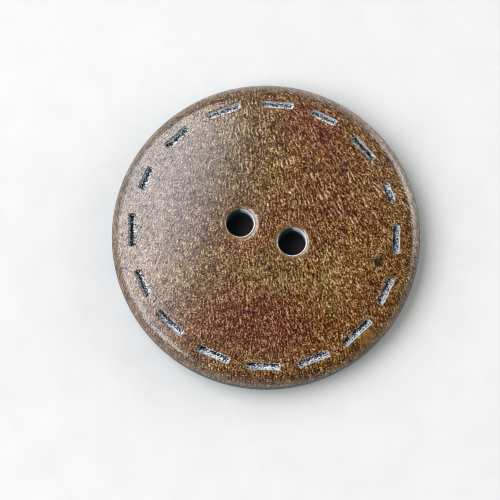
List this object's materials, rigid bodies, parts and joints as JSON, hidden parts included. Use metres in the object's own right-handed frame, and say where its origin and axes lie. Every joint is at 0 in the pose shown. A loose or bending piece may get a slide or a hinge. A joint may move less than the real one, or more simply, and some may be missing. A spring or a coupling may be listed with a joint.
{
  "type": "sew-on button",
  "caption": "Large round flat sew-on button with thread holes near its centre, a mottled brown skin over a blue-grey core, and stitch-like recesses near its rim.",
  "frame": {"origin": "centre of the flat back", "axes": "+Z out through the face, +X from one sewing hole to the other"},
  "size_m": [0.028, 0.028, 0.0038],
  "materials": {
    "core": "satin",
    "skin": "satin"
  },
  "bodies": {
    "root": {"core": "core", "face_skin": "skin"}
  },
  "joints": []
}
